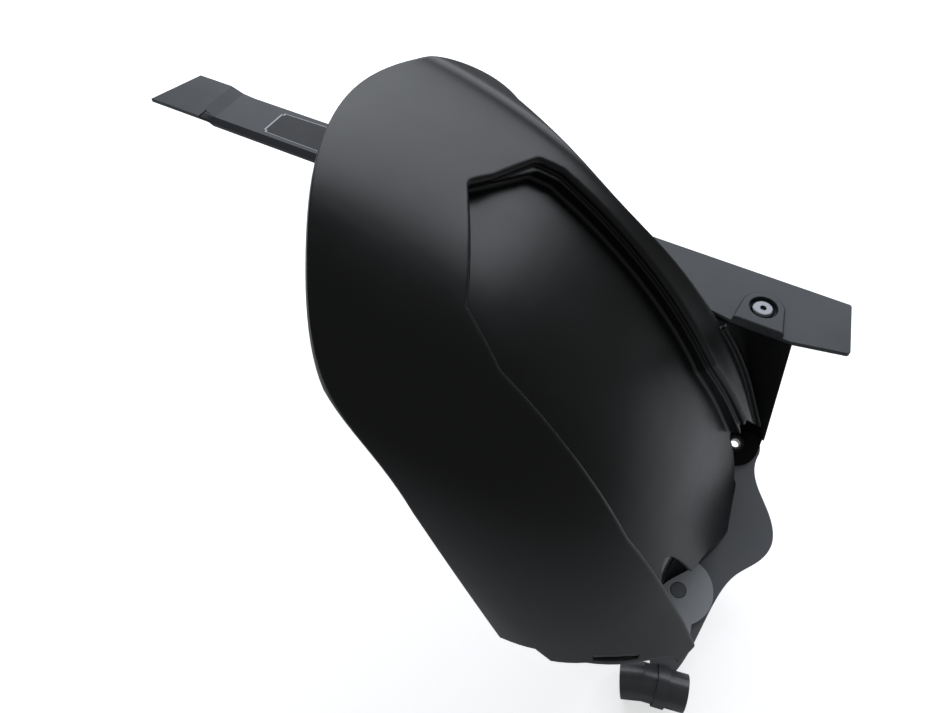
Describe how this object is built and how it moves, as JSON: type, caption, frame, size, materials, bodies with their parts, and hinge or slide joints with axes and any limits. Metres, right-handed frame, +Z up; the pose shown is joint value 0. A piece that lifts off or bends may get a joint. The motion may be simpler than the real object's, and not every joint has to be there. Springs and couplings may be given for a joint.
{
  "type": "rear hugger mudguard",
  "caption": "Moulded rear hugger mudguard with a stepped shock recess, carrying a long chain guard on a sheet bracket, a front stay and a hose guide.",
  "frame": {"origin": "the foot bore's axis, at the top face of the bracket's foot", "axes": "+X forward along the bike, +Y to the bike's left, +Z up"},
  "size_m": [0.594, 0.2834, 0.3337],
  "materials": {
    "moulded_black": "fine-grained satin",
    "guard_black": "satin",
    "painted_sheet": "satin black",
    "stay_black": "satin",
    "guide_black": "semi-gloss",
    "dark_steel": "blackened",
    "bright_steel": "plain",
    "soft_rubber": "matt"
  },
  "bodies": {
    "root": {"hugger_shell": "moulded_black", "chain_guard": "guard_black", "guard_bracket": "painted_sheet", "front_stay": "stay_black", "hose_guide": "guide_black", "guard_screw": "dark_steel", "guard_collar": "bright_steel", "guard_nut": "dark_steel", "foot_grommet": "soft_rubber", "foot_collar": "bright_steel"}
  },
  "joints": []
}
